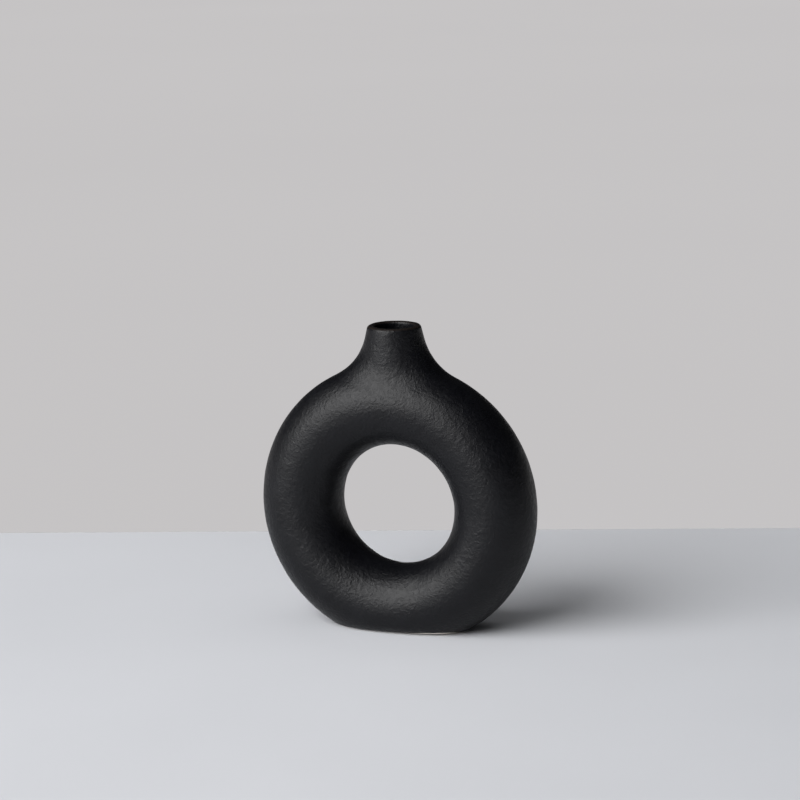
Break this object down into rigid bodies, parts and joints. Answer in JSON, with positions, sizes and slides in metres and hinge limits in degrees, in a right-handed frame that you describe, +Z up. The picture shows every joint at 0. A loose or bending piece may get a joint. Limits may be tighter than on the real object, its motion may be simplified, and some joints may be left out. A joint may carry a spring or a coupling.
{
  "type": "donut vase",
  "caption": "Upright ring-shaped vase with an open centre, a short flaring neck and a flat foot, matte black glaze outside and gloss inside.",
  "frame": {"origin": "middle of the flat foot, on the surface that the vase stands on", "axes": "+Z up, through the neck; +Y along the axis of the ring's hole, front towards -Y; +X across the ring"},
  "size_m": [0.187, 0.0532, 0.2],
  "materials": {
    "bare_clay": "fired bare stoneware, fine sandy grain",
    "matte_glaze": "matte black glaze with a fine leathery grain",
    "gloss_glaze": "smooth gloss black lining glaze"
  },
  "bodies": {
    "root": {"clay_body": "bare_clay", "outer_glaze": "matte_glaze", "liner_glaze": "gloss_glaze"}
  },
  "joints": []
}
